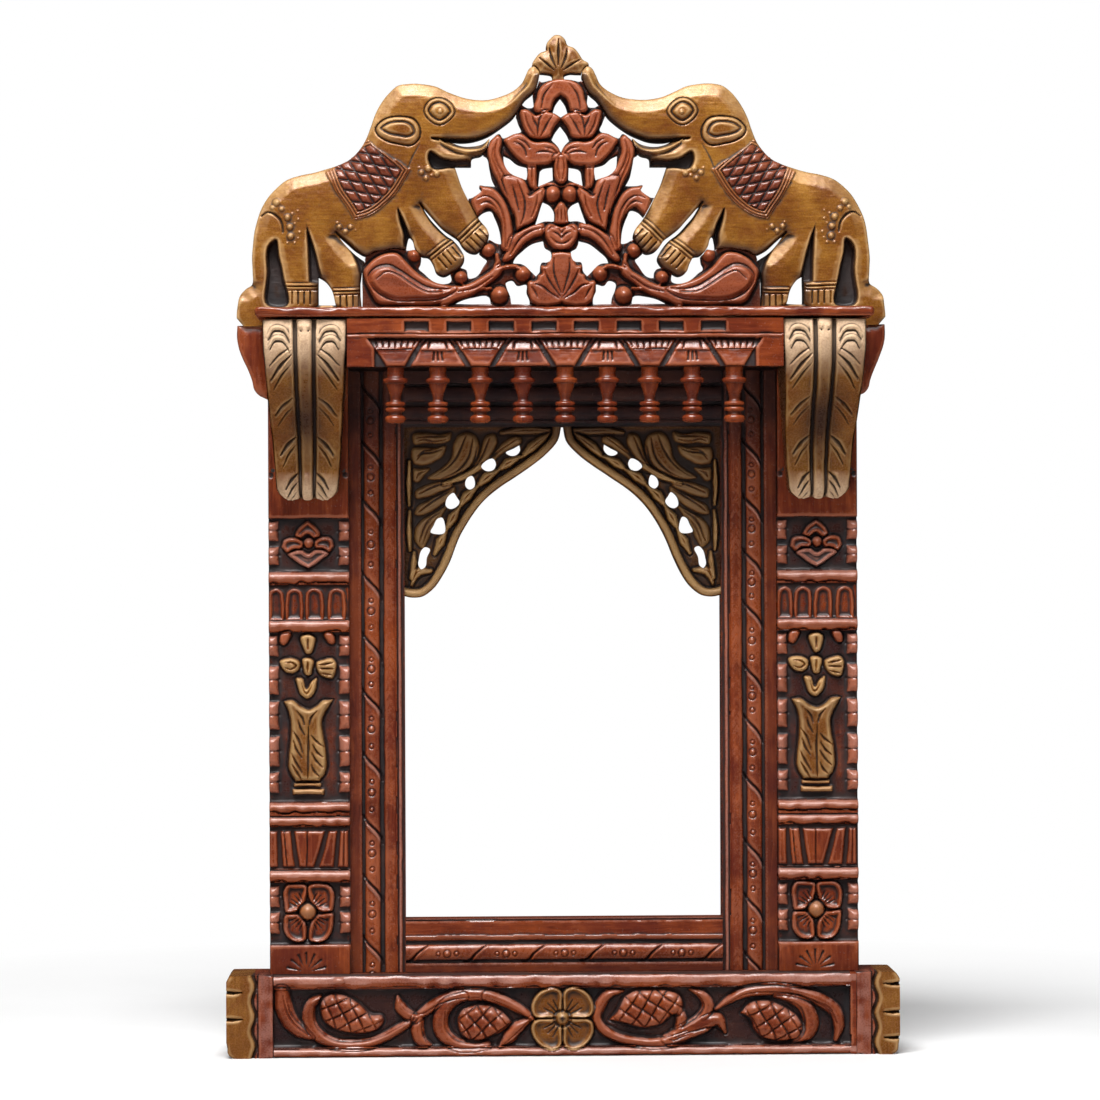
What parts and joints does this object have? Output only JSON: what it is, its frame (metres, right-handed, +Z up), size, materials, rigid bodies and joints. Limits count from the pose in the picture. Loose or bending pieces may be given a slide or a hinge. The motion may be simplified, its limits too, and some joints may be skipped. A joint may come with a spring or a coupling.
{
  "type": "jharokha wall frame",
  "caption": "Carved wooden window-shaped wall frame: elephant crown with pierced tracery, canopy with turned drops, leaf brackets, panelled pillars, arched opening and plinth.",
  "frame": {"origin": "on the wall plane, at the middle of the back of the window's head rail", "axes": "+Z up, +Y into the wall, +X to the right seen from the front"},
  "size_m": [0.402, 0.088, 0.6126],
  "materials": {
    "red_varnish": "red-brown varnish over carved wood, semi-gloss",
    "gold_paint": "old-gold paint with dark wash in the recesses",
    "dark_varnish": "dark red-brown varnish",
    "bare_wood": "unfinished",
    "steel": "zinc-plated"
  },
  "bodies": {
    "root": {"bracket_left": "gold_paint", "bracket_pin_left_1": "steel", "bracket_pin_left_2": "steel", "bracket_pin_right_1": "steel", "bracket_pin_right_2": "steel", "bracket_right": "gold_paint", "canopy_back_board": "bare_wood", "canopy_fascia": "red_varnish", "canopy_shelf": "red_varnish", "canopy_soffit": "dark_varnish", "crown_tracery": "red_varnish", "ear_left": "red_varnish", "ear_right": "red_varnish", "elephant_dowel_left": "bare_wood", "elephant_dowel_right": "bare_wood", "elephant_left": "gold_paint", "elephant_right": "gold_paint", "finial": "gold_paint", "hanging_plate_left": "steel", "hanging_plate_right": "steel", "pendant_1": "red_varnish", "pendant_2": "red_varnish", "pendant_3": "red_varnish", "pendant_4": "red_varnish", "pendant_5": "red_varnish", "pendant_6": "red_varnish", "pendant_7": "red_varnish", "pendant_8": "red_varnish", "pendant_9": "red_varnish", "pillar_dowel_left_1": "bare_wood", "pillar_dowel_left_2": "bare_wood", "pillar_dowel_right_1": "bare_wood", "pillar_dowel_right_2": "bare_wood", "pillar_left": "red_varnish", "pillar_right": "red_varnish", "plate_screw_left_1": "steel", "plate_screw_left_2": "steel", "plate_screw_right_1": "steel", "plate_screw_right_2": "steel", "plinth_board": "red_varnish", "plinth_dowel_left": "bare_wood", "plinth_dowel_right": "bare_wood", "plinth_end_left": "gold_paint", "plinth_end_right": "gold_paint", "spandrel_left": "gold_paint", "spandrel_right": "gold_paint", "tracery_dowel_left": "bare_wood", "tracery_dowel_right": "bare_wood", "window_head_rail": "red_varnish", "window_sill_rail": "red_varnish", "window_stile_left": "red_varnish", "window_stile_right": "red_varnish"}
  },
  "joints": []
}
